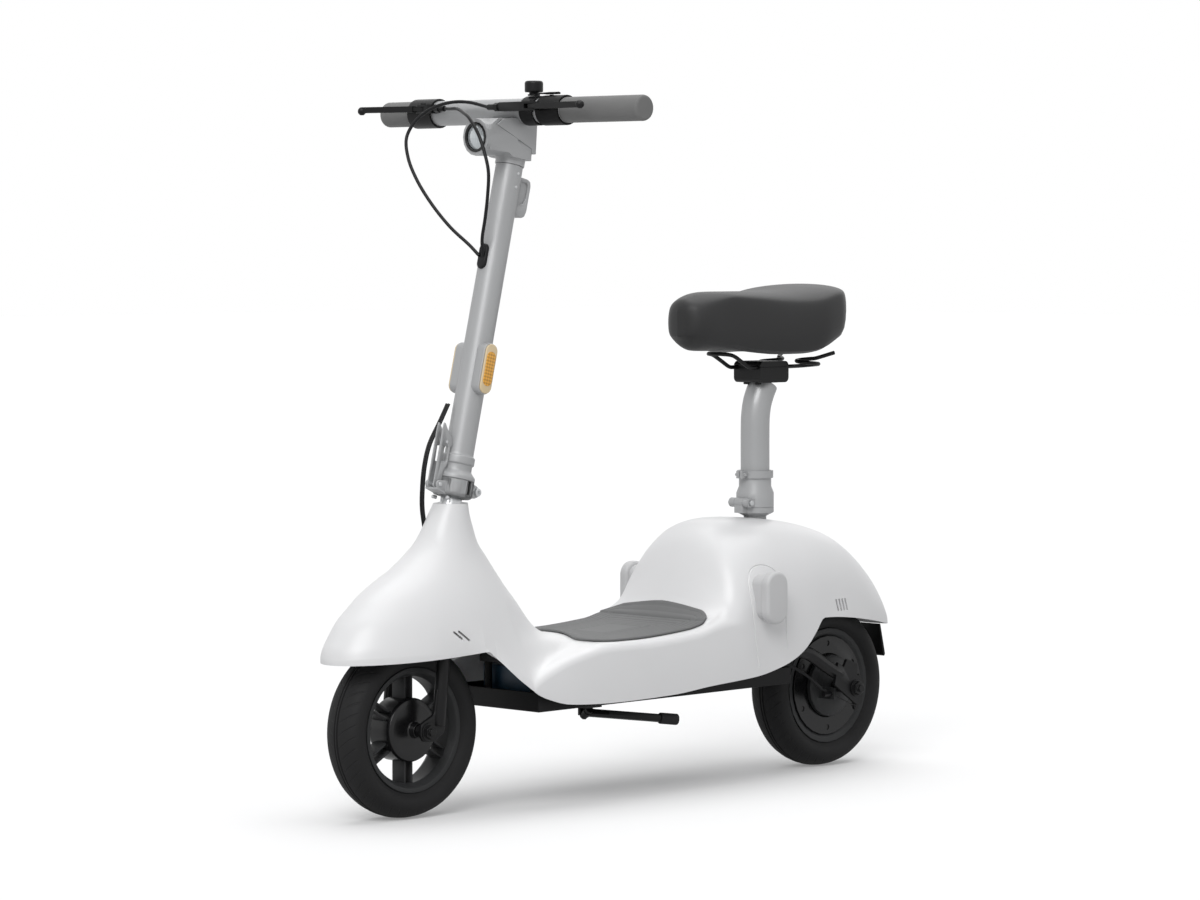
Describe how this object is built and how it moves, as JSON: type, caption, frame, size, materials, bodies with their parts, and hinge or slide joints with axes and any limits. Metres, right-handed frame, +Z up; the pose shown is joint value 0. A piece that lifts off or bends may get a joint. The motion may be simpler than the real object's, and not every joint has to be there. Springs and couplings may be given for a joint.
{
  "type": "seated electric scooter",
  "caption": "Small seated scooter with a moulded step-through body, folding steering stem with bar controls, padded saddle on a folding post, and two spoked pneumatic-style wheels.",
  "frame": {"origin": "ground level at the centre of the bounding box in plan", "axes": "+X towards the scooter's left, +Y towards its rear, +Z up"},
  "size_m": [0.54, 1.146, 1.0536],
  "materials": {
    "body_white": "satin white moulding",
    "mat_rubber": "ribbed grey rubber",
    "tray_black": "grained black moulding",
    "battery_wrap": "wrapped cells",
    "frame_black": "satin black paint",
    "bright_steel": "plated steel",
    "bright_alloy": "polished alloy",
    "pad_grey": "light grey moulding",
    "silver_paint": "silver grey paint",
    "tyre_rubber": "dark tyre rubber",
    "wheel_dark": "dark satin wheel",
    "hub_black": "glossy black",
    "grip_grey": "grey grip",
    "control_black": "black control parts",
    "cable_black": "cable sleeve",
    "lens_amber": "amber reflector",
    "lens_clear": "clear lens",
    "saddle_cover": "black padded cover"
  },
  "bodies": {
    "chassis": {"body_shell": "body_white", "foot_mat": "mat_rubber", "belly_tray": "tray_black", "battery_pack": "battery_wrap", "main_frame": "frame_black", "headset_bearing_upper": "bright_steel", "headset_bearing_lower": "bright_steel", "side_pad_left": "pad_grey", "side_pad_right": "pad_grey", "rear_arms": "frame_black", "rear_axle": "bright_steel", "brake_backplate": "silver_paint", "mudflap": "control_black", "kickstand_bracket": "frame_black", "seat_hinge_base": "silver_paint", "seat_hinge_pin": "bright_steel", "brake_cable_rear": "cable_black"},
    "kickstand": {"kickstand_leg": "frame_black", "kickstand_foot": "tyre_rubber"},
    "brake_cam": {"brake_arm": "frame_black"},
    "rear_wheel": {"rear_tyre": "tyre_rubber", "rear_rim": "wheel_dark", "rear_hub_cover": "hub_black"},
    "steering": {"fork": "frame_black", "front_axle": "bright_steel", "stem_hinge_base": "silver_paint", "stem_hinge_pin": "bright_steel"},
    "front_wheel": {"front_tyre": "tyre_rubber", "front_rim": "wheel_dark", "front_bearing_set": "bright_steel"},
    "latch": {"latch_lever": "silver_paint"},
    "stem": {"stem_tube": "silver_paint", "head_casting": "silver_paint", "headlight_ring": "control_black", "headlight_lens": "lens_clear", "display_pod": "silver_paint", "bag_hook": "silver_paint", "cable_grommet": "control_black", "reflector_lens_left": "lens_amber", "reflector_lens_right": "lens_amber", "handlebar": "silver_paint", "left_grip": "grip_grey", "brake_perch_left": "control_black", "brake_perch_right": "control_black", "bell_body": "control_black", "switch_pod": "control_black", "cable_left": "cable_black", "cable_right": "cable_black", "harness": "cable_black"},
    "throttle": {"right_grip": "grip_grey"},
    "lever_left": {"brake_lever_left": "control_black"},
    "lever_right": {"brake_lever_right": "control_black"},
    "striker": {"bell_striker": "control_black"},
    "rocker": {"switch_lever": "control_black"},
    "seat": {"seat_hinge_socket": "silver_paint", "seat_collar": "silver_paint", "seat_post": "bright_alloy", "saddle_clamp": "frame_black", "saddle_rails": "bright_steel", "saddle_cushion": "saddle_cover"}
  },
  "joints": [
    {"name": "steering_turn", "type": "hinge", "parent": "chassis", "child": "steering", "pos_m": [0, -0.4176, 0.127], "axis": [0, 0.2353, 0.9719], "range_deg": [-45, 45]},
    {"name": "front_wheel_spin", "type": "hinge", "parent": "steering", "child": "front_wheel", "pos_m": [0, -0.435, 0.127], "axis": [1, 0, 0], "continuous": true},
    {"name": "rear_wheel_spin", "type": "hinge", "parent": "chassis", "child": "rear_wheel", "pos_m": [0, 0.4406, 0.127], "axis": [1, 0, 0], "continuous": true},
    {"name": "stem_fold", "type": "hinge", "parent": "steering", "child": "stem", "pos_m": [0, -0.30803, 0.46058], "axis": [1, 0, 0], "range_deg": [-44, 0]},
    {"name": "latch_swing", "type": "hinge", "parent": "steering", "child": "latch", "pos_m": [0, -0.37533, 0.47585], "axis": [1, 0, 0], "range_deg": [0, 88]},
    {"name": "throttle_twist", "type": "hinge", "parent": "stem", "child": "throttle", "pos_m": [-0.2376, -0.2157, 1.0102], "axis": [-1, 0, 0], "range_deg": [0, 75], "stiffness_Nm_per_rad": 0.25},
    {"name": "lever_left_pull", "type": "hinge", "parent": "stem", "child": "lever_left", "pos_m": [0.074, -0.2485, 1.016], "axis": [0, 0, 1], "range_deg": [0, 9], "stiffness_Nm_per_rad": 2},
    {"name": "lever_right_pull", "type": "hinge", "parent": "stem", "child": "lever_right", "pos_m": [-0.158, -0.2485, 1.016], "axis": [0, 0, -1], "range_deg": [0, 9], "stiffness_Nm_per_rad": 2},
    {"name": "bell_flick", "type": "hinge", "parent": "stem", "child": "striker", "pos_m": [0.044, -0.2157, 1.0355], "axis": [0, 0, 1], "range_deg": [0, 35], "stiffness_Nm_per_rad": 0.02},
    {"name": "rocker_tilt", "type": "hinge", "parent": "stem", "child": "rocker", "pos_m": [0.081, -0.2157, 1.0345], "axis": [1, 0, 0], "range_deg": [-8, 8], "stiffness_Nm_per_rad": 0.05},
    {"name": "brake_cam_turn", "type": "hinge", "parent": "chassis", "child": "brake_cam", "pos_m": [0.058, 0.47, 0.14], "axis": [1, 0, 0], "range_deg": [-14, 0]},
    {"name": "kickstand_swing", "type": "hinge", "parent": "chassis", "child": "kickstand", "pos_m": [0.06, -0.125, 0.131], "axis": [-0.8106, 0.1822, -0.5565], "range_deg": [0, 91]},
    {"name": "seat_fold", "type": "hinge", "parent": "chassis", "child": "seat", "pos_m": [0, 0.268, 0.4198], "axis": [1, 0, 0], "range_deg": [0, 90]}
  ],
  "couplings": [
    {"joint": "brake_cam_turn", "follows": "lever_left_pull", "ratio": -1.5}
  ]
}
